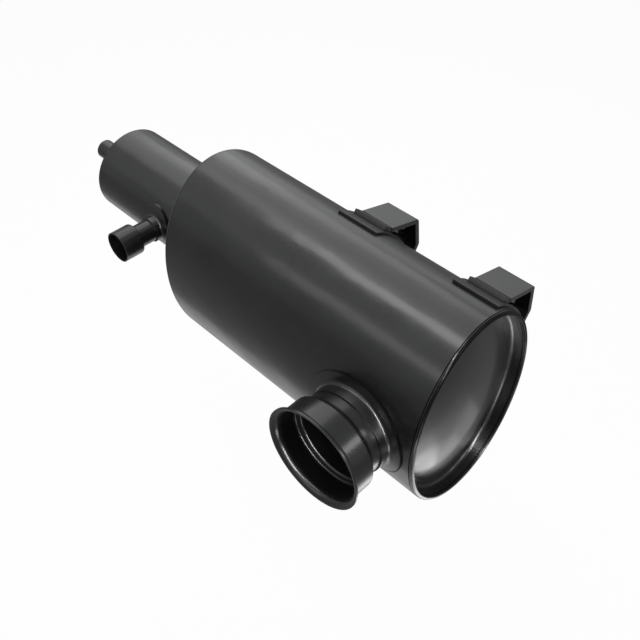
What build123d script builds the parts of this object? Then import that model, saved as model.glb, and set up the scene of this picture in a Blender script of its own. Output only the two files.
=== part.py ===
from build123d import *

import os
from math import cos, hypot, radians, sin

# Oval muffler in millimetres. X runs along the body towards its front end, Z is up, and the inlet
# points to -Y. The origin is on the inlet axis, where the straight bore of its socket begins.

os.makedirs("parts", exist_ok=True)

# Main body
SHEET = 1.7
HALF_MAJOR = 150.0
HALF_MINOR = 102.0
LEAN = 10.0
BODY_AXIS_Y = 160.0
FRONT_X = 81.0
REAR_X = -320.0
RIM_LENGTH = 3.8
FRONT_RIM_ROUND = 3.4
REAR_RIM_ROUND = 2.4
RIM_EDGE = 1.0
RIM_FOLD = 2.4
FRONT_SEAM = 0.6
REAR_SEAM = 0.15
NECK_LENGTH = 12.0
FRONT_DEPTH = 19.3
REAR_DEPTH = 20.0
PAN_FILLET = 5.5
DOME_INSET = 16.0
DOME_HEIGHT = 14.2

# Inlet pipe and its collar; radii are of the outside
PIPE_WALL = 2.2
INLET_RADIUS = 50.8
INLET_SOCKET_RADIUS = 58.1
INLET_LIP_RADIUS = 63.6
INLET_LIP_LENGTH = 8.2
INLET_SHOULDER_Y = 25.0
INLET_INNER_END = 78.0
COLLAR_SHEET = 1.7
COLLAR_END_Y = 42.5
COLLAR_FLANGE_RADIUS = 67.5
COLLAR_FLARE = 4.5
COLLAR_GAP = 0.1

# Rear chamber
CHAMBER_Y = 169.6
CHAMBER_Z = 6.9
CHAMBER_RADIUS = 61.0
CHAMBER_WALL = 2.0
CHAMBER_END_X = -541.0
CAP_RECESS = 10.0
CAP_FLANGE = 12.0

# Side port of the rear chamber
PORT_X = -410.7
PORT_MOUTH_Y = 46.4
PORT_WALL = 1.5
PORT_RADIUS = 15.3
PORT_SOCKET_RADIUS = 21.0
PORT_SOCKET_LENGTH = 28.0
PORT_COLLAR_RADIUS = 17.3
PORT_COLLAR_END = 71.0
PORT_FLANGE_RADIUS = 32.0
PORT_FLARE = 3.2

# End pipe
END_PIPE_Y = 146.8
END_PIPE_Z = 37.0
END_PIPE_RADIUS = 13.5
END_PIPE_BORE = 11.5
END_PIPE_SEAT_RADIUS = 13.0
END_PIPE_SEAT_X = -541.5
END_PIPE_END_X = -572.5
END_PIPE_INNER_X = -508.0

# Brackets
BRACKET_XS = {"rear": -115.2, "front": 44.6}
STRAP_WIDTH = 45.0
STRAP_THICKNESS = 6.0
STRAP_BEND = 3.5
# Line of the strap's outer face as (y, z) from the body's axis, from the upper foot to the lower one
STRAP_LINE = [(40.0, 138.9), (51.4, 129.5), (101.2, 115.6), (108.5, 74.5), (99.1, 56.4), (103.8, 42.2)]
PAD_LENGTH = 56.0
PAD_THICKNESS = 3.0
PAD_ANGLES = (23.7, 90.0)
BOLT_HOLE = 11.0

# Inner pieces
BAFFLE_SHEET = 2.0
BAFFLE_FLANGE = 12.0
FRONT_BAFFLE_X = -95.0
REAR_BAFFLE_X = -205.0
TRANSFER_RADIUS = 25.0
TRANSFER_OFFSET = 92.0
TUBE_WALL = 1.5
OUTLET_RADIUS = 30.0
OUTLET_START_X = -110.0
OUTLET_END_X = -470.0
SUPPORT_X = -455.0
HOLE_DIAMETER = 14.0

LONG_AXIS = (0, -sin(radians(LEAN)), cos(radians(LEAN)))


def across(x, y=BODY_AXIS_Y, z=0.0):
    """Plane across the body at x, with its own x direction along the oval's long axis."""
    return Plane(origin=(x, y, z), x_dir=LONG_AXIS, z_dir=(1, 0, 0))


def oval(inset, mode=Mode.ADD):
    """The body's oval section, set in from its outer surface."""
    Ellipse(HALF_MAJOR - inset, HALF_MINOR - inset, mode=mode)


def edges_at(builder, x):
    """Edges that lie in the plane across the body at x, shortest first."""
    found = [e for e in builder.edges() if abs(e.bounding_box().min.X - x) < 0.02
             and abs(e.bounding_box().max.X - x) < 0.02]
    return sorted(found, key=lambda e: e.length)


def finish(builder, name):
    """Names the part and writes it out."""
    builder.part.label = name
    export_step(builder.part, f"parts/{name}.step")


# Main shell, stepped in at both ends to pass under the rims
with BuildPart() as main_shell:
    front_edge = FRONT_X - RIM_LENGTH - FRONT_SEAM
    rear_edge = REAR_X + RIM_LENGTH + REAR_SEAM
    with BuildSketch(across(rear_edge)):
        oval(0)
        oval(SHEET, mode=Mode.SUBTRACT)
    extrude(amount=front_edge - rear_edge)
    with BuildSketch(Plane.XZ):
        Circle(INLET_RADIUS)
    extrude(amount=-BODY_AXIS_Y, mode=Mode.SUBTRACT)
    for tip, inward in ((FRONT_X, -1), (REAR_X, 1)):
        with BuildSketch(across(tip + inward * RIM_FOLD)):
            oval(SHEET)
            oval(2 * SHEET, mode=Mode.SUBTRACT)
        extrude(amount=inward * NECK_LENGTH)
    inner_steps = [edges_at(main_shell, FRONT_X - RIM_FOLD - NECK_LENGTH)[0],
                   edges_at(main_shell, REAR_X + RIM_FOLD + NECK_LENGTH)[0]]
    chamfer(inner_steps, 1.4)
finish(main_shell, "main_shell")


def plug(tip, inward, length, inset, end_round):
    """Oval plug that starts at the tip, with its inner end rounded."""
    with BuildPart() as made:
        with BuildSketch(across(tip)):
            oval(inset)
        extrude(amount=inward * length)
        fillet(edges_at(made, tip + inward * length), end_round)
    return made.part


def pan(tip, inward, depth, rim_round):
    """Deep pan for one end of the body, with a rim rolled over the shell's neck."""
    with BuildPart() as made:
        with BuildSketch(across(tip)):
            oval(0)
        extrude(amount=inward * RIM_LENGTH)
        add(plug(tip, inward, depth + SHEET, 2 * SHEET, PAN_FILLET + SHEET))
        add(plug(tip, inward, depth, 3 * SHEET, PAN_FILLET), mode=Mode.SUBTRACT)
        fillet(edges_at(made, tip)[-1], rim_round)
        fillet(edges_at(made, tip)[0], RIM_EDGE)
        with BuildSketch(across(tip + inward * RIM_FOLD)):
            oval(SHEET)
            oval(2 * SHEET, mode=Mode.SUBTRACT)
        extrude(amount=inward * NECK_LENGTH, mode=Mode.SUBTRACT)
    return made.part


# Shallow dome, first round and then drawn in across its short axis
with BuildPart() as dome:
    rim_radius = HALF_MAJOR - DOME_INSET
    dome_radius = (rim_radius ** 2 + DOME_HEIGHT ** 2) / (2 * DOME_HEIGHT)
    with BuildSketch(Plane.XZ) as dome_section:
        with BuildLine():
            outer_arc = RadiusArc((0, rim_radius), (DOME_HEIGHT, 0), dome_radius)
            inner_arc = RadiusArc((-SHEET, rim_radius), (DOME_HEIGHT - SHEET, 0), dome_radius)
            Line(outer_arc @ 0, inner_arc @ 0)
            Line(outer_arc @ 1, inner_arc @ 1)
        make_face()
    revolve(axis=Axis.X)
    scale(by=(1, (HALF_MINOR - DOME_INSET) / rim_radius, 1))

with BuildPart() as front_head:
    add(pan(FRONT_X, -1, FRONT_DEPTH, FRONT_RIM_ROUND))
    with BuildSketch(across(FRONT_X)):
        oval(DOME_INSET)
    extrude(amount=-FRONT_DEPTH - 2 * SHEET, mode=Mode.SUBTRACT)
    add(dome.part.moved(Location((FRONT_X - FRONT_DEPTH, BODY_AXIS_Y, 0), (LEAN, 0, 0))))
finish(front_head, "front_head")

with BuildPart() as rear_head:
    add(pan(REAR_X, 1, REAR_DEPTH, REAR_RIM_ROUND))
    with BuildSketch(across(REAR_X, CHAMBER_Y, CHAMBER_Z)):
        Circle(OUTLET_RADIUS)
    extrude(amount=2 * REAR_DEPTH, mode=Mode.SUBTRACT)
finish(rear_head, "rear_head")


def oval_body(inset):
    """Solid length of the body's oval round the inlet."""
    with BuildPart() as made:
        with BuildSketch(across(-100)):
            oval(inset)
        extrude(amount=200)
    return made.part


def chamber_body(inset):
    """Solid length of the rear chamber's round, round its side port."""
    with BuildPart() as made:
        with BuildSketch(across(PORT_X - 60, CHAMBER_Y, CHAMBER_Z)):
            Circle(CHAMBER_RADIUS - inset)
        extrude(amount=120)
    return made.part


def drawn_shape(body, plane, reach, radius, flare):
    """Body with a round post on it, and a flare where they meet."""
    with BuildPart() as made:
        add(body)
        with BuildSketch(plane):
            Circle(radius)
        extrude(amount=-reach)
        plain = (GeomType.CIRCLE, GeomType.LINE, GeomType.ELLIPSE)
        fillet([e for e in made.edges() if e.geom_type not in plain], flare)
    return made.part


def saddle(make_body, plane, reach, radius, flange_radius, sheet, flare):
    """Sheet flange laid on a body and drawn up into a collar round a tube."""
    with BuildPart() as made:
        add(drawn_shape(make_body(-sheet), plane, reach, radius, flare))
        add(drawn_shape(make_body(0), plane, reach, radius - sheet, flare + sheet), mode=Mode.SUBTRACT)
        with BuildSketch(plane):
            Circle(flange_radius)
        extrude(amount=-reach, mode=Mode.INTERSECT)
    return made.part


with BuildPart() as inlet_collar:
    add(saddle(oval_body, Plane.XZ.offset(-COLLAR_END_Y), BODY_AXIS_Y - COLLAR_END_Y,
               INLET_RADIUS + COLLAR_GAP + COLLAR_SHEET, COLLAR_FLANGE_RADIUS, COLLAR_SHEET,
               COLLAR_FLARE))
finish(inlet_collar, "inlet_collar")

with BuildPart() as side_port_collar:
    port_plane = Plane(origin=(PORT_X, CHAMBER_Y - PORT_COLLAR_END, CHAMBER_Z), x_dir=(1, 0, 0),
                       z_dir=(0, -1, 0))
    add(saddle(chamber_body, port_plane, PORT_COLLAR_END, PORT_COLLAR_RADIUS, PORT_FLANGE_RADIUS,
               CHAMBER_WALL, PORT_FLARE))
finish(side_port_collar, "side_port_collar")


def formed_tube(points, bends, wall, centre):
    """Tube along Y about a centre (x, z), from the middle line of its wall as (radius, y)."""
    with BuildPart() as made:
        with BuildSketch(Plane.XY):
            with BuildLine():
                FilletPolyline(*points, radius=bends)
            trace(line_width=wall)
        revolve(axis=Axis.Y)
    return made.part.moved(Location((centre[0], 0, centre[1])))


# Inlet pipe with its neck, its socket and its rolled-out lip
with BuildPart() as inlet_pipe:
    half = PIPE_WALL / 2
    add(formed_tube([(INLET_RADIUS - half, INLET_INNER_END),
                     (INLET_RADIUS - half, INLET_SHOULDER_Y),
                     (INLET_SOCKET_RADIUS - half, INLET_SHOULDER_Y),
                     (INLET_SOCKET_RADIUS - half, half - INLET_LIP_LENGTH),
                     (INLET_LIP_RADIUS, half - INLET_LIP_LENGTH)],
                    [2.5, 3.5, 6.5], PIPE_WALL, (0, 0)))
finish(inlet_pipe, "inlet_pipe")

# Side port pipe with its socket
with BuildPart() as side_port_pipe:
    half = PORT_WALL / 2
    socket_end = PORT_MOUTH_Y + PORT_SOCKET_LENGTH
    add(formed_tube([(PORT_RADIUS - half, CHAMBER_Y - CHAMBER_RADIUS + 8.0),
                     (PORT_RADIUS - half, socket_end),
                     (PORT_SOCKET_RADIUS - half, socket_end),
                     (PORT_SOCKET_RADIUS - half, PORT_MOUTH_Y)],
                    [1.8, 2.5], PORT_WALL, (PORT_X, CHAMBER_Z)))
finish(side_port_pipe, "side_port_pipe")

# Rear chamber: shell, cap and welds
chamber_start_x = REAR_X + REAR_DEPTH
with BuildPart() as rear_chamber_shell:
    with BuildSketch(across(CHAMBER_END_X, CHAMBER_Y, CHAMBER_Z)):
        Circle(CHAMBER_RADIUS)
        Circle(CHAMBER_RADIUS - CHAMBER_WALL, mode=Mode.SUBTRACT)
    extrude(amount=chamber_start_x - CHAMBER_END_X)
    with BuildSketch(Plane(origin=(PORT_X, CHAMBER_Y, CHAMBER_Z), x_dir=(1, 0, 0), z_dir=(0, -1, 0))):
        Circle(PORT_RADIUS)
    extrude(amount=2 * CHAMBER_RADIUS, mode=Mode.SUBTRACT)
finish(rear_chamber_shell, "rear_chamber_shell")

with BuildPart() as rear_chamber_cap:
    cap_radius = CHAMBER_RADIUS - CHAMBER_WALL
    with BuildSketch(across(CHAMBER_END_X, CHAMBER_Y, CHAMBER_Z)):
        Circle(cap_radius)
    extrude(amount=CAP_FLANGE)
    fillet(edges_at(rear_chamber_cap, CHAMBER_END_X + CAP_FLANGE)[-1], 4.0)
    with BuildSketch(across(CHAMBER_END_X, CHAMBER_Y, CHAMBER_Z)):
        Circle(cap_radius - CHAMBER_WALL)
    extrude(amount=CAP_RECESS, mode=Mode.SUBTRACT)
    fillet(edges_at(rear_chamber_cap, CHAMBER_END_X + CAP_RECESS)[-1], 2.0)
    with BuildSketch(across(CHAMBER_END_X, END_PIPE_Y, END_PIPE_Z)):
        Circle(END_PIPE_SEAT_RADIUS)
    extrude(amount=2 * CAP_FLANGE, mode=Mode.SUBTRACT)
finish(rear_chamber_cap, "rear_chamber_cap")

# End pipe, turned down a little where it passes the cap
with BuildPart() as end_pipe:
    with BuildSketch(across(END_PIPE_END_X, END_PIPE_Y, END_PIPE_Z)):
        Circle(END_PIPE_RADIUS)
    extrude(amount=END_PIPE_SEAT_X - END_PIPE_END_X)
    chamfer(edges_at(end_pipe, END_PIPE_END_X), 0.5)
    with BuildSketch(across(END_PIPE_SEAT_X, END_PIPE_Y, END_PIPE_Z)):
        Circle(END_PIPE_SEAT_RADIUS)
    extrude(amount=END_PIPE_INNER_X - END_PIPE_SEAT_X)
    with BuildSketch(across(END_PIPE_END_X, END_PIPE_Y, END_PIPE_Z)):
        Circle(END_PIPE_BORE)
    extrude(amount=END_PIPE_INNER_X - END_PIPE_END_X, mode=Mode.SUBTRACT)
finish(end_pipe, "end_pipe")


def weld_ring(x, centre, radius, leg):
    """Fillet weld in the corner of a tube and the flat face it leaves towards -X at x."""
    with BuildPart() as made:
        with BuildSketch(Plane.XY):
            with BuildLine():
                Polyline((x, radius), (x, radius + leg), (x - leg, radius), (x, radius))
            make_face()
        revolve(axis=Axis.X)
    return made.part.moved(Location((0, centre[0], centre[1])))


with BuildPart() as chamber_weld:
    add(weld_ring(chamber_start_x, (CHAMBER_Y, CHAMBER_Z), CHAMBER_RADIUS, 5.0))
finish(chamber_weld, "chamber_weld")

with BuildPart() as end_pipe_weld:
    add(weld_ring(CHAMBER_END_X + CAP_RECESS, (END_PIPE_Y, END_PIPE_Z),
                  END_PIPE_SEAT_RADIUS, 3.0))
finish(end_pipe_weld, "end_pipe_weld")


def outline(angle):
    """Point (y, z) of the body's oval and its outward normal, by the angle round from the upper end."""
    lean = radians(LEAN)
    along = HALF_MAJOR * cos(radians(angle))
    aside = HALF_MINOR * sin(radians(angle))
    normal_along = cos(radians(angle)) / HALF_MAJOR
    normal_aside = sin(radians(angle)) / HALF_MINOR
    size = hypot(normal_along, normal_aside)
    point = (BODY_AXIS_Y - sin(lean) * along + cos(lean) * aside, cos(lean) * along + sin(lean) * aside)
    normal = ((-sin(lean) * normal_along + cos(lean) * normal_aside) / size,
              (cos(lean) * normal_along + sin(lean) * normal_aside) / size)
    return point, normal


def bracket_pad(x):
    """Curved pad centred at x, cut off square to the shell at both ends of its arc."""
    corners = []
    for angle, reaches in zip(PAD_ANGLES, ((-8.0, 60.0), (60.0, -8.0))):
        point, normal = outline(angle)
        corners += [(point[0] + reach * normal[0], point[1] + reach * normal[1]) for reach in reaches]
    with BuildPart() as made:
        with BuildSketch(across(x - PAD_LENGTH / 2)):
            oval(-PAD_THICKNESS)
            oval(0, mode=Mode.SUBTRACT)
        extrude(amount=PAD_LENGTH)
        with BuildSketch(Plane.YZ.offset(x - PAD_LENGTH / 2)):
            with BuildLine():
                Polyline(*corners, close=True)
            make_face()
        extrude(amount=PAD_LENGTH, mode=Mode.INTERSECT)
    return made.part


def strap_middle():
    """Middle line of the strap, half its thickness inside the line of its outer face."""
    normals = []
    for (y0, z0), (y1, z1) in zip(STRAP_LINE, STRAP_LINE[1:]):
        length = hypot(y1 - y0, z1 - z0)
        normals.append(((z1 - z0) / length, (y0 - y1) / length))
    shifted = []
    for k, (y, z) in enumerate(STRAP_LINE):
        before = normals[max(k - 1, 0)]
        after = normals[min(k, len(normals) - 1)]
        share = STRAP_THICKNESS / 2 / (1 + before[0] * after[0] + before[1] * after[1])
        shifted.append((BODY_AXIS_Y + y + share * (before[0] + after[0]),
                        z + share * (before[1] + after[1])))
    return shifted


def bracket(x):
    """Bent strap centred at x, both feet laid on the pad, with a bolt hole in its outer plate."""
    with BuildPart() as made:
        with BuildSketch(Plane.YZ.offset(x - STRAP_WIDTH / 2)):
            with BuildLine():
                FilletPolyline(*strap_middle(), radius=STRAP_BEND)
            trace(line_width=STRAP_THICKNESS)
        extrude(amount=STRAP_WIDTH)
        with BuildSketch(across(x - STRAP_WIDTH / 2)):
            oval(-PAD_THICKNESS)
        extrude(amount=STRAP_WIDTH, mode=Mode.SUBTRACT)
        (y0, z0), (y1, z1) = STRAP_LINE[2:4]
        with BuildSketch(Plane(origin=(x, BODY_AXIS_Y + (y0 + y1) / 2, (z0 + z1) / 2), x_dir=(1, 0, 0),
                               z_dir=(0, z0 - z1, y1 - y0))):
            Circle(BOLT_HOLE / 2)
        extrude(amount=2 * STRAP_THICKNESS, both=True, mode=Mode.SUBTRACT)
    return made.part


for end, x in BRACKET_XS.items():
    with BuildPart() as pad:
        add(bracket_pad(x))
    finish(pad, f"bracket_pad_{end}")
    with BuildPart() as strap:
        add(bracket(x))
    finish(strap, f"bracket_{end}")


# Inlet diffuser: perforated tube closed at its far end, carried in the inlet pipe
DIFFUSER_RADIUS = INLET_RADIUS - PIPE_WALL
DIFFUSER_START_Y = 66.0
DIFFUSER_END_Y = 232.0
with BuildPart() as inlet_diffuser:
    with BuildSketch(Plane.XZ.offset(-DIFFUSER_END_Y)):
        Circle(DIFFUSER_RADIUS)
    extrude(amount=DIFFUSER_END_Y - DIFFUSER_START_Y)
    with BuildSketch(Plane.XZ.offset(TUBE_WALL - DIFFUSER_END_Y)):
        Circle(DIFFUSER_RADIUS - TUBE_WALL)
    extrude(amount=DIFFUSER_END_Y - DIFFUSER_START_Y, mode=Mode.SUBTRACT)
    for y in (115.0, 160.0, 205.0):
        for side in (Plane.XY, Plane.YZ):
            with BuildSketch(Plane(origin=(0, y, 0), x_dir=(0, 1, 0), z_dir=side.z_dir)):
                Circle(HOLE_DIAMETER / 2)
            extrude(amount=2 * DIFFUSER_RADIUS, both=True, mode=Mode.SUBTRACT)
finish(inlet_diffuser, "inlet_diffuser")


def baffle(x, holes):
    """Flanged oval plate with its flange towards the front; holes as (centre y, centre z, radius)."""
    with BuildPart() as made:
        with BuildSketch(across(x)):
            oval(SHEET)
        extrude(amount=BAFFLE_FLANGE)
        fillet(edges_at(made, x)[-1], 4.0)
        with BuildSketch(across(x + BAFFLE_SHEET)):
            oval(SHEET + BAFFLE_SHEET)
        extrude(amount=BAFFLE_FLANGE, mode=Mode.SUBTRACT)
        fillet(edges_at(made, x + BAFFLE_SHEET)[-1], 2.0)
        for y, z, radius in holes:
            with BuildSketch(across(x, y, z)):
                Circle(radius)
            extrude(amount=BAFFLE_FLANGE, mode=Mode.SUBTRACT)
    return made.part


TRANSFERS = {"upper": (BODY_AXIS_Y + TRANSFER_OFFSET * LONG_AXIS[1], TRANSFER_OFFSET * LONG_AXIS[2]),
             "lower": (BODY_AXIS_Y - TRANSFER_OFFSET * LONG_AXIS[1], -TRANSFER_OFFSET * LONG_AXIS[2])}
transfer_holes = [(y, z, TRANSFER_RADIUS) for y, z in TRANSFERS.values()]
flow_holes = [(CHAMBER_Y + 60.0 * cos(radians(a)), CHAMBER_Z + 45.0 * sin(radians(a)), HOLE_DIAMETER)
              for a in (0, 60, 120, 180, 240, 300)]

with BuildPart() as front_baffle:
    add(baffle(FRONT_BAFFLE_X, transfer_holes))
finish(front_baffle, "front_baffle")

with BuildPart() as rear_baffle:
    add(baffle(REAR_BAFFLE_X, transfer_holes + flow_holes + [(CHAMBER_Y, CHAMBER_Z, OUTLET_RADIUS)]))
finish(rear_baffle, "rear_baffle")


def tube(start_x, end_x, centre, radius, wall):
    """Plain tube along X about a centre (y, z)."""
    with BuildPart() as made:
        with BuildSketch(across(start_x, *centre)):
            Circle(radius)
            Circle(radius - wall, mode=Mode.SUBTRACT)
        extrude(amount=end_x - start_x)
    return made.part


for place, centre in TRANSFERS.items():
    with BuildPart() as transfer_tube:
        add(tube(REAR_BAFFLE_X - 25.0, FRONT_BAFFLE_X + 35.0, centre, TRANSFER_RADIUS, TUBE_WALL))
    finish(transfer_tube, f"transfer_tube_{place}")

# Outlet tube, perforated where it stands in the middle room and in the rear chamber
with BuildPart() as outlet_tube:
    add(tube(OUTLET_END_X, OUTLET_START_X, (CHAMBER_Y, CHAMBER_Z), OUTLET_RADIUS, TUBE_WALL))
    for x in (-135.0, -160.0, -345.0, -380.0):
        for angle in (30, 90, 150):
            with BuildSketch(Plane(origin=(x, CHAMBER_Y, CHAMBER_Z), x_dir=(1, 0, 0),
                                   z_dir=(0, cos(radians(angle)), sin(radians(angle))))):
                Circle(HOLE_DIAMETER / 2)
            extrude(amount=2 * OUTLET_RADIUS, both=True, mode=Mode.SUBTRACT)
finish(outlet_tube, "outlet_tube")

# Support of the outlet tube's far end: flanged ring with vent holes
with BuildPart() as core_support:
    with BuildSketch(across(SUPPORT_X, CHAMBER_Y, CHAMBER_Z)):
        Circle(cap_radius)
    extrude(amount=BAFFLE_FLANGE)
    fillet(edges_at(core_support, SUPPORT_X)[-1], 4.0)
    with BuildSketch(across(SUPPORT_X + BAFFLE_SHEET, CHAMBER_Y, CHAMBER_Z)):
        Circle(cap_radius - BAFFLE_SHEET)
    extrude(amount=BAFFLE_FLANGE, mode=Mode.SUBTRACT)
    for angle in range(0, 360, 60):
        with BuildSketch(across(SUPPORT_X, CHAMBER_Y + 43.0 * cos(radians(angle)),
                                CHAMBER_Z + 43.0 * sin(radians(angle)))):
            Circle(HOLE_DIAMETER / 2)
        extrude(amount=BAFFLE_FLANGE, mode=Mode.SUBTRACT)
    with BuildSketch(across(SUPPORT_X, CHAMBER_Y, CHAMBER_Z)):
        Circle(OUTLET_RADIUS)
    extrude(amount=BAFFLE_FLANGE, mode=Mode.SUBTRACT)
finish(core_support, "core_support")
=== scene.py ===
import math

import bpy
from mathutils import Matrix, Vector


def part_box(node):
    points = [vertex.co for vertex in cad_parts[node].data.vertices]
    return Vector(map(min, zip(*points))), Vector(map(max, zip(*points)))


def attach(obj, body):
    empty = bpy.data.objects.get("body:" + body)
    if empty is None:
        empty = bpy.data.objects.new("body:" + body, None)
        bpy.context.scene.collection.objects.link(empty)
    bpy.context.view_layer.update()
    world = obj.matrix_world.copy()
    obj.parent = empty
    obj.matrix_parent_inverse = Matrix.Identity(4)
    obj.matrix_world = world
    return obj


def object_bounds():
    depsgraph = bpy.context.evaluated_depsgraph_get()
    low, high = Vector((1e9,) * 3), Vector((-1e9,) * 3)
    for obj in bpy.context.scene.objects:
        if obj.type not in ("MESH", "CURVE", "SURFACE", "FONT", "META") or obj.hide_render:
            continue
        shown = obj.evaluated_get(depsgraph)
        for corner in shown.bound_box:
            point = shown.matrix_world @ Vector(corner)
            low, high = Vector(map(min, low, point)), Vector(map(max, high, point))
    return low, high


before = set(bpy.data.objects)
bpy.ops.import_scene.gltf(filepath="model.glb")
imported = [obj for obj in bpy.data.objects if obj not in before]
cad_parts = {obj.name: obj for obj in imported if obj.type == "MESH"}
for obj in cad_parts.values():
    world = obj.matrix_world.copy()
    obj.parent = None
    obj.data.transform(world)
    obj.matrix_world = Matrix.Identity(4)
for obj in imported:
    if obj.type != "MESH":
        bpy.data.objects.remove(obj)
cad_low, cad_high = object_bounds()

# Sizes across, in millimetres, of what the enamel and the sealed-in steel show
TONE_PATCH = 60
SHEET_WAVE = 70
HEAT_STAIN = 35
# Dust and rolled grain are really tenths of a millimetre across, and orange peel about one. That is too
# fine for the render, so all three are drawn as coarse as they need to show
DUST_SPECK = 2.2
ORANGE_PEEL = 1.5
ROLLED_GRAIN = 1.2
# The rolled grain runs along the body, twenty times as long as it is wide
GRAIN_SQUEEZE = 0.05

# Heights of the relief, in metres, each with the share of it that the finish keeps
WAVE_HEIGHT = 0.003
WAVE_KEPT = 0.4
RIPPLE_HEIGHT = 0.0005
RIPPLE_KEPT = 0.8
PEEL_HEIGHT = 0.00004
PEEL_KEPT = 0.10
GRAIN_HEIGHT = 0.00005
GRAIN_KEPT = 0.2

# Enamel outside the painted shade: its specular level, and the clear skin that the spray leaves on top
ENAMEL_SHINE = 0.5
SKIN_WEIGHT = 0.30
SKIN_ROUGHNESS = 0.16
# How far into the corners the painted shade reaches, drawn by taking the shine away
NOOK_REACH = 0.008

# Distance from ripple to ripple of the welds, in metres
CHAMBER_RIPPLE = 0.00276
END_PIPE_RIPPLE = 0.0025
STRAP_RIPPLE = 0.0018


def middle_of(node):
    """Middle of a CAD node's box, to a tenth of a millimetre."""
    low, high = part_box(node)
    return tuple(round((a + b) / 2, 4) for a, b in zip(low, high))


def size_of(node):
    """Size of a CAD node's box, to a tenth of a millimetre."""
    low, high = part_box(node)
    return tuple(round(b - a, 4) for a, b in zip(low, high))


def paint_colour(hex_code):
    """sRGB hex written as six digits, turned to the linear colour that a shader takes."""
    channels = []
    for start in (0, 2, 4):
        value = int(hex_code[start:start + 2], 16) / 255
        channels.append(value / 12.92 if value <= 0.04045 else ((value + 0.055) / 1.055) ** 2.4)
    return (*channels, 1.0)


def add_node(tree, kind, settings=None, inputs=None, links=None):
    """Adds a node; settings are its properties, inputs its socket values, links its sockets' sources."""
    node = tree.nodes.new(kind)
    for name, value in (settings or {}).items():
        setattr(node, name, value)
    for name, value in (inputs or {}).items():
        node.inputs[name].default_value = value
    for name, source in (links or {}).items():
        tree.links.new(source, node.inputs[name])
    return node


def new_material(name):
    """An empty material, its tree and its output node."""
    material = bpy.data.materials.new(name)
    material.use_nodes = True
    tree = material.node_tree
    tree.nodes.clear()
    output = add_node(tree, "ShaderNodeOutputMaterial")
    return material, tree, output


def per_metre(millimetres):
    """Noise scale whose features are about that many millimetres across."""
    return 1000.0 / millimetres


def add_object(name, data):
    """A new object in the scene."""
    item = bpy.data.objects.new(name, data)
    bpy.context.scene.collection.objects.link(item)
    return item


def turned(place, right, up, back):
    """Matrix that sets an object at a place, with its own X, Y and Z along the three directions."""
    return Matrix.Translation(place) @ Matrix((right, up, back)).transposed().to_4x4()


def between(tree, value, low, high, soft):
    """1 where the value lies between low and high, fading to 0 over the soft width on both sides."""
    rise = add_node(tree, "ShaderNodeMapRange",
                    inputs={"From Min": low - soft, "From Max": low},
                    links={"Value": value})
    fall = add_node(tree, "ShaderNodeMapRange",
                    inputs={"From Min": high, "From Max": high + soft, "To Min": 1.0, "To Max": 0.0},
                    links={"Value": value})
    return add_node(tree, "ShaderNodeMath", {"operation": "MULTIPLY"},
                    links={0: rise.outputs["Result"], 1: fall.outputs["Result"]}).outputs["Value"]


def aside_and_above(tree, position, axes, centre):
    """How far a point lies from a centre along two axes."""
    return [add_node(tree, "ShaderNodeMath", {"operation": "SUBTRACT"}, inputs={1: middle},
                     links={0: position.outputs[axis]}).outputs["Value"]
            for axis, middle in zip(axes, centre)]


def weld_ripple(tree, position, ring, pitch):
    """Height of the ripples that a weld run leaves at that pitch round its ring, a CAD node."""
    radius = size_of(ring)[1] / 2
    count = round(2 * math.pi * radius / pitch)
    aside, above = aside_and_above(tree, position, "YZ", middle_of(ring)[1:])
    angle = add_node(tree, "ShaderNodeMath", {"operation": "ARCTAN2"}, links={0: above, 1: aside})
    turns = add_node(tree, "ShaderNodeMath", {"operation": "MULTIPLY"}, inputs={1: float(count)},
                     links={0: angle.outputs["Value"]})
    return add_node(tree, "ShaderNodeMath", {"operation": "SINE"},
                    links={0: turns.outputs["Value"]}).outputs["Value"]


def radius_from(tree, position, opening):
    """Distance from the axis of an opening that faces along Y, given as the CAD node round it."""
    x, _, z = middle_of(opening)
    aside, above = aside_and_above(tree, position, "XZ", (x, z))
    flat = add_node(tree, "ShaderNodeCombineXYZ", links={"X": aside, "Y": above})
    return add_node(tree, "ShaderNodeVectorMath", {"operation": "LENGTH"},
                    links={0: flat.outputs["Vector"]}).outputs["Value"]


def enamel_colour(tree, place, patches):
    """Near-black that drifts a little from patch to patch, with some settled dust."""
    speck = add_node(tree, "ShaderNodeTexNoise", inputs={"Scale": per_metre(DUST_SPECK), "Detail": 3.0},
                     links={"Vector": place})
    tone = add_node(tree, "ShaderNodeValToRGB", links={"Fac": patches})
    darker, lighter = tone.color_ramp.elements
    darker.position = 0.30
    darker.color = paint_colour("0f0f10")
    lighter.position = 0.72
    lighter.color = paint_colour("151516")
    dusty = add_node(tree, "ShaderNodeMapRange", inputs={"From Min": 0.60, "From Max": 0.78, "To Max": 0.10},
                     links={"Value": speck.outputs["Fac"]})
    return add_node(tree, "ShaderNodeMix", {"data_type": "RGBA"}, inputs={"B": paint_colour("4a4a4b")},
                    links={"Factor": dusty.outputs["Result"], "A": tone.outputs["Color"]}).outputs["Result"]


def enamel_roughness(tree, patches):
    """Semi-gloss that varies from patch to patch and turns duller where the eye skims over it."""
    patchy = add_node(tree, "ShaderNodeMapRange",
                      inputs={"From Min": 0.3, "From Max": 0.7, "To Min": 0.25, "To Max": 0.33},
                      links={"Value": patches})
    glance = add_node(tree, "ShaderNodeLayerWeight", inputs={"Blend": 0.5})
    dulled = add_node(tree, "ShaderNodeMapRange",
                      inputs={"From Min": 0.45, "From Max": 1.0, "To Min": 0.0, "To Max": 0.22},
                      links={"Value": glance.outputs["Facing"]})
    return add_node(tree, "ShaderNodeMath", {"operation": "ADD"},
                    links={0: patchy.outputs["Result"], 1: dulled.outputs["Result"]}).outputs["Value"]


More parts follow.
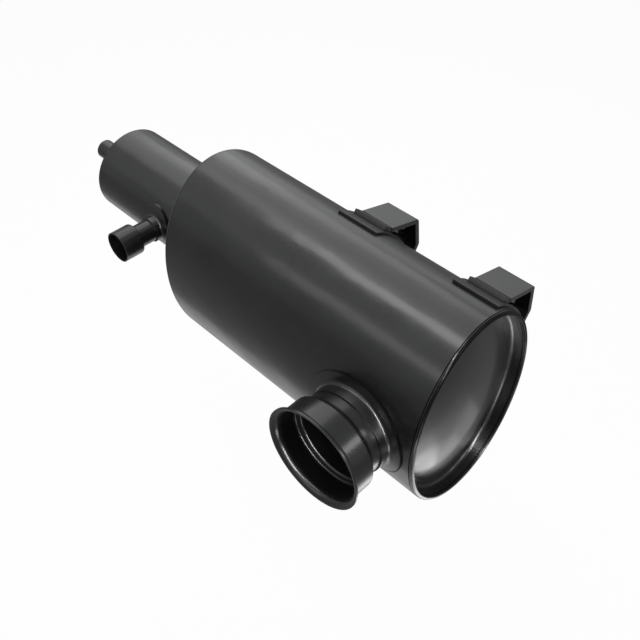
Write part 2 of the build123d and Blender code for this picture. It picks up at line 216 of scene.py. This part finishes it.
def enamel_relief(tree, place, position, weld):
    """Slow waves of the sheet, the ripples of a weld run where there is one, and orange peel on top."""
    peel = add_node(tree, "ShaderNodeTexNoise", inputs={"Scale": per_metre(ORANGE_PEEL), "Detail": 2.0},
                    links={"Vector": place})
    wave = add_node(tree, "ShaderNodeTexNoise", inputs={"Scale": per_metre(SHEET_WAVE), "Detail": 1.0},
                    links={"Vector": place})
    normal = add_node(tree, "ShaderNodeBump", inputs={"Strength": WAVE_KEPT, "Distance": WAVE_HEIGHT},
                      links={"Height": wave.outputs["Fac"]}).outputs["Normal"]
    if weld:
        ripple = weld_ripple(tree, position, *weld)
        normal = add_node(tree, "ShaderNodeBump",
                          inputs={"Strength": RIPPLE_KEPT, "Distance": RIPPLE_HEIGHT},
                          links={"Height": ripple, "Normal": normal}).outputs["Normal"]
    return add_node(tree, "ShaderNodeBump", inputs={"Strength": PEEL_KEPT, "Distance": PEEL_HEIGHT},
                    links={"Height": peel.outputs["Fac"], "Normal": normal}).outputs["Normal"]


def enamel_unshaded_share(tree, position, shaded_bands, opening):
    """1 on enamel in the open, less where shade is painted: in nooks, found by ambient occlusion, and in the
    shaded bands.
    """
    # Painted shade: the shine fades where ambient occlusion finds a nook
    nook = add_node(tree, "ShaderNodeAmbientOcclusion", {"samples": 8}, inputs={"Distance": NOOK_REACH})
    unshaded = add_node(tree, "ShaderNodeMapRange", inputs={"From Min": 0.25, "From Max": 0.80, "To Min": 0.1},
                     links={"Value": nook.outputs["AO"]}).outputs["Result"]
    for depth, *limits in shaded_bands:
        inside = unshaded
        for axis, low, high, soft in limits:
            value = radius_from(tree, position, opening) if axis == "R" else position.outputs[axis]
            inside = add_node(tree, "ShaderNodeMath", {"operation": "MULTIPLY"},
                              links={0: inside, 1: between(tree, value, low, high, soft)}).outputs["Value"]
        lost = add_node(tree, "ShaderNodeMath", {"operation": "MULTIPLY"}, inputs={1: depth},
                        links={0: inside})
        unshaded = add_node(tree, "ShaderNodeMath", {"operation": "SUBTRACT", "use_clamp": True},
                         links={0: unshaded, 1: lost.outputs["Value"]}).outputs["Value"]
    return unshaded


def semi_gloss_black_paint(name, shaded_bands=(), opening=None, weld=None):
    """Heat-resistant black enamel sprayed on sheet steel: near-black and semi-gloss, over slow waves of the
    sheet, with a fine orange peel and a little settled dust. Painted shade takes its shine away in nooks,
    found by ambient occlusion, and in the shaded bands. Each band has its depth and one or more limits (axis,
    low, high, soft width) and lies where all of them hold; R is the distance from the opening's axis. A weld
    is given as its ring and the pitch of its ripples."""
    material, tree, output = new_material(name)
    place = add_node(tree, "ShaderNodeTexCoord").outputs["Object"]
    position = add_node(tree, "ShaderNodeSeparateXYZ", links={"Vector": place})
    patches = add_node(tree, "ShaderNodeTexNoise",
                       inputs={"Scale": per_metre(TONE_PATCH), "Detail": 4.0, "Roughness": 0.55},
                       links={"Vector": place}).outputs["Fac"]
    relief = enamel_relief(tree, place, position, weld)
    unshaded = enamel_unshaded_share(tree, position, shaded_bands, opening)
    shine = add_node(tree, "ShaderNodeMath", {"operation": "MULTIPLY"}, inputs={1: ENAMEL_SHINE},
                     links={0: unshaded})
    skin = add_node(tree, "ShaderNodeMath", {"operation": "MULTIPLY"}, inputs={1: SKIN_WEIGHT},
                    links={0: unshaded})
    enamel = add_node(tree, "ShaderNodeBsdfPrincipled", inputs={"Coat Roughness": SKIN_ROUGHNESS},
                      links={"Base Color": enamel_colour(tree, place, patches),
                             "Roughness": enamel_roughness(tree, patches),
                             "Specular IOR Level": shine.outputs["Value"],
                             "Coat Weight": skin.outputs["Value"],
                             "Coat Normal": relief, "Normal": relief})
    tree.links.new(enamel.outputs["BSDF"], output.inputs["Surface"])
    return material


def bare_steel(name):
    """Plain cold-rolled sheet steel inside the body: grey metal with a rolled grain, browned by heat."""
    material, tree, output = new_material(name)
    place = add_node(tree, "ShaderNodeTexCoord").outputs["Object"]
    stretched = add_node(tree, "ShaderNodeMapping", inputs={"Scale": (GRAIN_SQUEEZE, 1.0, 1.0)},
                         links={"Vector": place})
    grain = add_node(tree, "ShaderNodeTexNoise", inputs={"Scale": per_metre(ROLLED_GRAIN), "Detail": 3.0},
                     links={"Vector": stretched.outputs["Vector"]})
    stain = add_node(tree, "ShaderNodeTexNoise", inputs={"Scale": per_metre(HEAT_STAIN), "Detail": 5.0},
                     links={"Vector": place})
    tone = add_node(tree, "ShaderNodeValToRGB", links={"Fac": stain.outputs["Fac"]})
    browned, plain = tone.color_ramp.elements
    browned.color = paint_colour("6b655e")
    plain.color = paint_colour("8d8c8b")
    gloss = add_node(tree, "ShaderNodeMapRange", inputs={"To Min": 0.38, "To Max": 0.55},
                     links={"Value": grain.outputs["Fac"]})
    relief = add_node(tree, "ShaderNodeBump", inputs={"Strength": GRAIN_KEPT, "Distance": GRAIN_HEIGHT},
                      links={"Height": grain.outputs["Fac"]})
    steel = add_node(tree, "ShaderNodeBsdfPrincipled", inputs={"Metallic": 1.0},
                     links={"Base Color": tone.outputs["Color"], "Roughness": gloss.outputs["Result"],
                            "Normal": relief.outputs["Normal"]})
    tree.links.new(steel.outputs["BSDF"], output.inputs["Surface"])
    return material


# Bands of painted shade, where the shine is taken away: how much of it is lost, then (axis, low, high, soft
# width) of each limit, in metres
rim_tip = cad_high.x
# Painted shadow line in the gap between the front head's rim and the shell's neck under it
FRONT_SEAM = (0.97, ("X", rim_tip - 0.0047, rim_tip - 0.0036, 0.0001))
# Top of the front rim, where painted shade takes the highlight off the rounded rim
RIM_TOP_SHADE = (0.88, ("X", rim_tip - 0.0023, rim_tip + 0.0020, 0.0005), ("Z", 0.0500, 0.2000, 0.0200))
# Painted shade on the outside of the pipe, where the socket narrows to the neck
INLET_WAIST = (0.85, ("Y", 0.0262, 0.0295, 0.0025), ("R", 0.0500, 0.0700, 0.0003))
# Painted shade on the straight inner wall of the socket
SOCKET_SHADE = (0.75, ("Y", 0.0020, 0.0195, 0.0015), ("R", 0.0500, 0.0562, 0.0003))
# Painted shade along the crease across each strap, where its upper foot turns up into the loop
STRAP_CREASE = (0.97, ("Y", 0.2104, 0.2121, 0.0003))
# Edges of the collars' flanges, with a thin painted shadow line along the front half of each
INLET_FLANGE_EDGE = (0.90, ("R", 0.0662, 0.0690, 0.0004), ("X", -0.0200, 0.0700, 0.0200))
PORT_FLANGE_EDGE = (0.90, ("R", 0.0310, 0.0340, 0.0004), ("X", -0.4000, -0.3700, 0.0100))

shell_paint = semi_gloss_black_paint("sprayed semi-gloss black enamel on the shell", shaded_bands=(FRONT_SEAM,))
head_paint = semi_gloss_black_paint("sprayed semi-gloss black enamel on the heads",
                                    shaded_bands=(FRONT_SEAM, RIM_TOP_SHADE))
inlet_paint = semi_gloss_black_paint("sprayed semi-gloss black enamel on the inlet pipe",
                                     shaded_bands=(INLET_WAIST, SOCKET_SHADE), opening="inlet_pipe")
collar_paint = semi_gloss_black_paint("sprayed semi-gloss black enamel on the inlet collar",
                                      shaded_bands=(INLET_FLANGE_EDGE,), opening="inlet_pipe")
port_collar_paint = semi_gloss_black_paint("sprayed semi-gloss black enamel on the port's collar",
                                           shaded_bands=(PORT_FLANGE_EDGE,), opening="side_port_pipe")
strap_paint = semi_gloss_black_paint("sprayed semi-gloss black enamel on the straps",
                                     shaded_bands=(STRAP_CREASE,))
chamber_weld_paint = semi_gloss_black_paint("sprayed black enamel over the chamber's weld run",
                                            weld=("chamber_weld", CHAMBER_RIPPLE))
end_pipe_weld_paint = semi_gloss_black_paint("sprayed black enamel over the end pipe's weld run",
                                             weld=("end_pipe_weld", END_PIPE_RIPPLE))
inner_steel = bare_steel("cold-rolled sheet steel, unpainted")

# The CAD's own pieces: steel where they are sealed in, the shell's enamel where nothing else is named
SEALED_IN = ("inlet_diffuser", "front_baffle", "rear_baffle", "transfer_tube_upper", "transfer_tube_lower",
             "outlet_tube", "core_support")
PAINTS = {"front_head": head_paint, "rear_head": head_paint, "inlet_pipe": inlet_paint,
          "inlet_collar": collar_paint, "side_port_collar": port_collar_paint,
          "bracket_front": strap_paint, "bracket_rear": strap_paint,
          "chamber_weld": chamber_weld_paint, "end_pipe_weld": end_pipe_weld_paint}

for name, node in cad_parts.items():
    node.data.materials.clear()
    node.data.materials.append(inner_steel if name in SEALED_IN else PAINTS.get(name, shell_paint))


def weld_bead(name, x, wedge, radius, length):
    """Rippled weld run along the body, its middle at x and the wedge's place (y, z)."""
    around = 16
    steps = 64
    blunt_end = 0.002
    ripple_depth = 0.05
    points = []
    for k in range(steps + 1):
        share = k / steps
        rise = min(1.0, min(share, 1 - share) * length / radius)
        swell = math.sqrt(rise * (2 - rise) + blunt_end)
        ripple = 1 + ripple_depth * math.sin(2 * math.pi * share * length / STRAP_RIPPLE)
        thickness = radius * swell * ripple
        for j in range(around):
            angle = 2 * math.pi * j / around
            points.append((x + (share - 0.5) * length, wedge[0] + thickness * math.cos(angle),
                           wedge[1] + thickness * math.sin(angle)))
    faces = []
    for k in range(steps):
        for j in range(around):
            beside = (j + 1) % around
            faces.append((k * around + j, k * around + beside,
                          (k + 1) * around + beside, (k + 1) * around + j))
    faces.append(tuple(range(around)))
    faces.append(tuple(steps * around + j for j in reversed(range(around))))
    mesh = bpy.data.meshes.new(name)
    mesh.from_pydata(points, [], faces)
    for face in mesh.polygons:
        face.use_smooth = True
    mesh.materials.append(shell_paint)
    bead = add_object(name, mesh)
    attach(bead, "root")


# Wedges between a strap's two ends and its pad, as (y, z), and the radius of the bead that fills each
UPPER_WEDGE = (0.2229, 0.1165)
UPPER_BEAD = 0.0040
LOWER_WEDGE = (0.2536, 0.0639)
LOWER_BEAD = 0.0029

for end in ("front", "rear"):
    strap_x = middle_of(f"bracket_{end}")[0]
    strap_width = size_of(f"bracket_{end}")[0]
    weld_bead(f"bracket_{end}_upper_weld", strap_x, UPPER_WEDGE, UPPER_BEAD, strap_width)
    weld_bead(f"bracket_{end}_lower_weld", strap_x, LOWER_WEDGE, LOWER_BEAD, strap_width)

# Camera at the photograph's angle, with its place and lens fitted to the part's edges
camera_place = (0.33385, -0.35912, 0.69159)
camera_lens = 45.19
image_right = Vector((0.7159, 0.6978, 0.0217))
image_up = Vector((-0.5056, 0.4968, 0.7054))
towards_camera = image_right.cross(image_up)
camera_data = bpy.data.cameras.new("camera")
camera_data.lens = camera_lens
camera_data.sensor_width = 36.0
camera_data.clip_start = 0.05
camera_data.clip_end = 20.0
camera = add_object("camera", camera_data)
camera.matrix_world = turned(camera_place, image_right, image_up, towards_camera)
bpy.context.scene.camera = camera


def flat_sheet(name, corner, far_corner, level):
    """Flat sheet at a level, between two corners given as (x, y)."""
    mesh = bpy.data.meshes.new(name)
    mesh.from_pydata([(corner[0], corner[1], level), (far_corner[0], corner[1], level),
                      (far_corner[0], far_corner[1], level), (corner[0], far_corner[1], level)],
                     [], [(0, 1, 2, 3)])
    return add_object(name, mesh)


def seen_or_mirrored(tree):
    """1 for rays from the camera, from a mirror or through glass, 0 for the rest."""
    path = add_node(tree, "ShaderNodeLightPath")
    shiny = add_node(tree, "ShaderNodeMath", {"operation": "MAXIMUM"},
                     links={0: path.outputs["Is Glossy Ray"], 1: path.outputs["Is Transmission Ray"]})
    both = add_node(tree, "ShaderNodeMath", {"operation": "MAXIMUM"},
                    links={0: path.outputs["Is Camera Ray"], 1: shiny.outputs["Value"]})
    return both.outputs["Value"]


def white_card(name, share_lifted):
    """Matt white card that looks pale to the eye and in mirrors. A share of what they see is plain white, and
    the rest is the lit card, which keeps the part's shadow."""
    material, tree, output = new_material(name)
    card = add_node(tree, "ShaderNodeBsdfDiffuse", inputs={"Color": paint_colour("f4f4f4")})
    white = add_node(tree, "ShaderNodeEmission", inputs={"Color": (1, 1, 1, 1), "Strength": 1.0})
    lift = add_node(tree, "ShaderNodeMath", {"operation": "MULTIPLY"}, inputs={1: share_lifted},
                    links={0: seen_or_mirrored(tree)})
    shown = add_node(tree, "ShaderNodeMixShader",
                     links={0: lift.outputs["Value"], 1: card.outputs["BSDF"], 2: white.outputs["Emission"]})
    tree.links.new(shown.outputs["Shader"], output.inputs["Surface"])
    return material


# Pale floor well below the part, which hangs free
floor_reach = 9.0
floor_level = cad_low.z - 0.45
floor = flat_sheet("floor", (-floor_reach, -floor_reach), (floor_reach, floor_reach), floor_level)
floor.data.materials.append(white_card("matt white card of the floor", 0.94))


def soft_lamp(name, place, aim, size, radiance, along_side=(1.0, 0.0, 0.0)):
    """Softbox at a place, turned to a point of the part, its first side along the body or as given."""
    lamp = bpy.data.lights.new(name, "AREA")
    lamp.shape = "RECTANGLE"
    lamp.size, lamp.size_y = size
    lamp.energy = radiance * math.pi * size[0] * size[1]
    holder = add_object(name, lamp)
    beam = (Vector(aim) - Vector(place)).normalized()
    side = Vector(along_side)
    along = (side - beam * beam.dot(side)).normalized()
    holder.matrix_world = turned(place, along, along.cross(beam), -beam)
    holder.visible_camera = False
    return holder


# Points of the part that lamps are turned to
body_middle = Vector((-0.15, 0.16, 0.0))
inlet_axis = Vector((0.0, 0.0, 0.0))
socket_wall = Vector((0.0, 0.02, 0.0))
socket_to_rim = Vector((0.05, 0.05, 0.0))
lower_socket_to_rim = Vector((0.08, 0.06, 0.0))
lower_rim = Vector((0.07, 0.11, -0.05))


def round_the_body(angle, distance, x):
    """Place at that angle round the body's axis, from the far side over the top to the near side."""
    return Vector((x, body_middle.y + distance * math.cos(math.radians(angle)),
                   distance * math.sin(math.radians(angle))))


# Banks and strips along the body: name, angle, distance from its axis, place along it, size, radiance
for name, angle, distance, x, size, radiance in (
        ("top bank", 64, 1.50, -1.15, (1.70, 1.80), 1.10),
        ("far side strip", 44, 1.50, -1.00, (1.40, 0.60), 0.55),
        ("overhead strip", 103, 1.45, -0.42, (1.15, 0.34), 4.80),
        ("overhead rear strip", 90, 1.45, -1.05, (0.90, 0.35), 0.45),
        ("far side bank", 22, 1.50, -0.90, (1.40, 0.50), 0.70),
        ("near side bank", 130, 1.50, -1.00, (1.60, 1.10), 0.34),
        ("near side strip", 152, 1.45, -0.42, (1.10, 0.26), 1.70)):
    soft_lamp(name, round_the_body(angle, distance, x), body_middle, size, radiance)

# Lamps for the glints on lips, flares and fillets. Only reflections show them, so that the light on the
# part stays plain: name, place, aim, size, radiance, direction of the first side
for name, place, aim, size, radiance, along_side in (
        ("front strip", (0.93, -0.56, 0.52), socket_wall, (1.15, 0.17), 40.0, (-0.67, -0.30, 0.68)),
        ("front overhead strip", (0.38, -0.63, 1.07), socket_wall, (0.76, 0.14), 24.0, (-0.66, 0.16, 0.33)),
        ("low near softbox", (0.64, -0.20, -0.53), lower_socket_to_rim, (0.30, 0.45), 5.0, (1.0, 0.0, 0.0))):
    glint_lamp = soft_lamp(name, place, aim, size, radiance, along_side)
    glint_lamp.visible_diffuse = False

# Softboxes before the front end, for the dome and the rim: name, place, aim, size, radiance
for name, place, aim, size, radiance in (
        ("front middle softbox", (1.32, 0.10, 0.70), socket_to_rim, (0.30, 0.30), 12.0),
        ("front far softbox", (1.06, 0.72, 0.72), inlet_axis, (0.30, 0.30), 6.0),
        ("low front softbox", (0.215, 0.235, -0.50), lower_rim, (0.16, 0.20), 2.6),
        ("low far softbox", (0.17, 0.35, -0.52), lower_rim, (0.26, 0.38), 0.60)):
    soft_lamp(name, place, aim, size, radiance)


def grey_card(name, corner, far_corner, strength):
    """Grey card laid on the floor beside the part: only the paint's reflections show it."""
    thickness = 0.01
    laid = flat_sheet(name, corner, far_corner, floor_level + thickness)
    finish, tree, output = new_material(name)
    glow = add_node(tree, "ShaderNodeEmission", inputs={"Color": (1, 1, 1, 1), "Strength": strength})
    tree.links.new(glow.outputs["Emission"], output.inputs["Surface"])
    laid.data.materials.append(finish)
    laid.visible_camera = False
    laid.visible_diffuse = False
    laid.visible_shadow = False


# Where the cards end: x before the front end, and y on the near side and the far side
front_line = 0.26
near_line = -0.03
far_line = 1.05
grey_card("near side card", (-floor_reach, near_line), (front_line, -floor_reach), 0.28)
grey_card("front card", (front_line, -floor_reach), (floor_reach, floor_reach), 0.24)
grey_card("front far card", (-0.10, 0.50), (front_line, far_line), 0.24)
grey_card("far side card", (-floor_reach, far_line), (front_line, floor_reach), 0.18)

# Even light of the room
world = bpy.data.worlds.new("studio")
bpy.context.scene.world = world
world.use_nodes = True
studio = world.node_tree
studio.nodes.clear()
room = add_node(studio, "ShaderNodeBackground", inputs={"Color": paint_colour("eceef0"), "Strength": 0.55})
add_node(studio, "ShaderNodeOutputWorld", links={"Surface": room.outputs["Background"]})

bpy.context.scene.view_settings.view_transform = "Standard"
